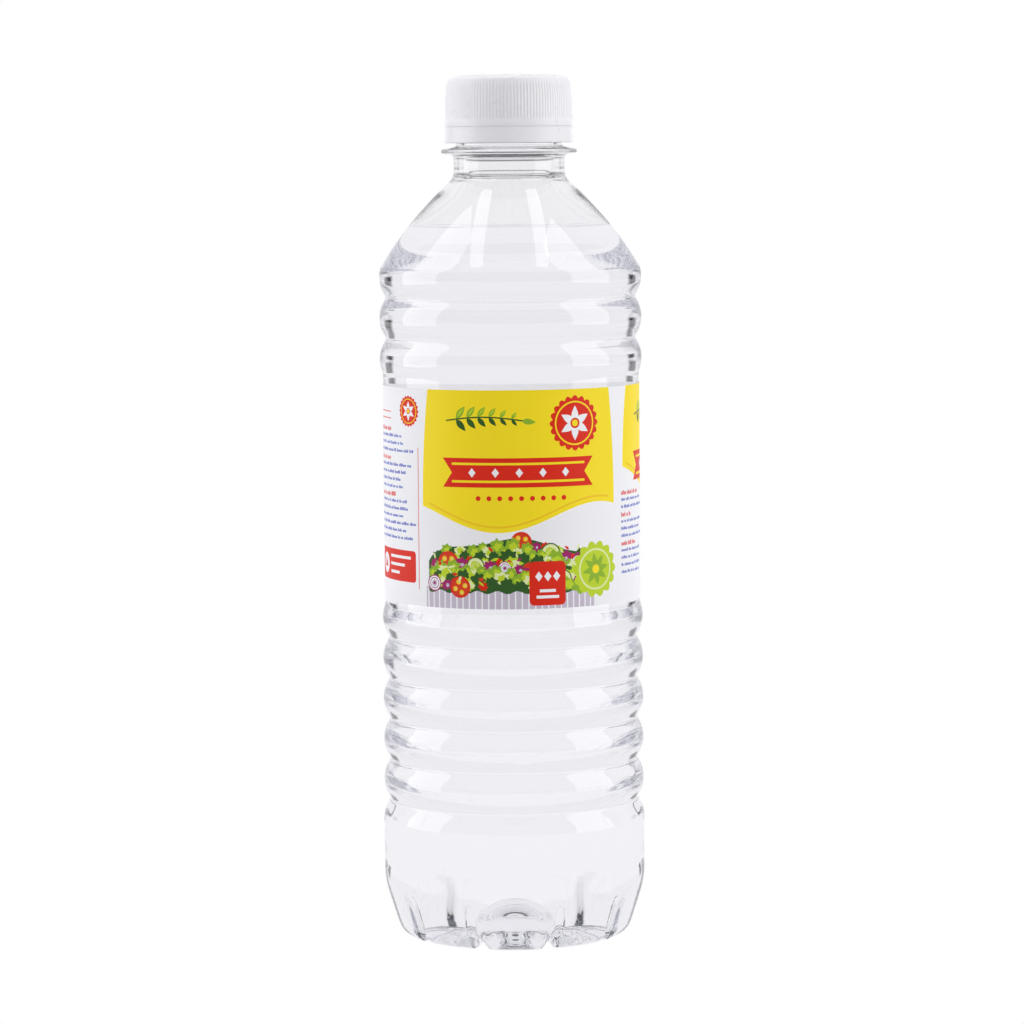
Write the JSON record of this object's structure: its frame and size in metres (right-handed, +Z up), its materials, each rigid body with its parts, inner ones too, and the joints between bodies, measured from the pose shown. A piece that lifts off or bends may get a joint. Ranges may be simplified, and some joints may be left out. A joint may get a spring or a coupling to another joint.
{
  "type": "vinegar bottle",
  "caption": "Clear plastic bottle of white vinegar with rounded rings, a straight label panel, footed base and a ribbed white screw cap over its tamper band.",
  "frame": {"origin": "on the bottle's axis, in the plane that the feet stand on", "axes": "+Z up along the bottle's axis; -Y is the front, where the label's main panel faces"},
  "size_m": [0.0642, 0.0642, 0.2103],
  "materials": {
    "clear_pet": "clear blow-moulded PET, glossy",
    "white_vinegar": "clear colourless liquid",
    "white_polyethylene": "white moulded polyethylene, satin",
    "label_film": "printed film, semi-gloss"
  },
  "bodies": {
    "root": {"bottle": "clear_pet", "vinegar": "white_vinegar", "cap": "white_polyethylene", "tamper_band": "white_polyethylene", "label": "label_film"}
  },
  "joints": []
}
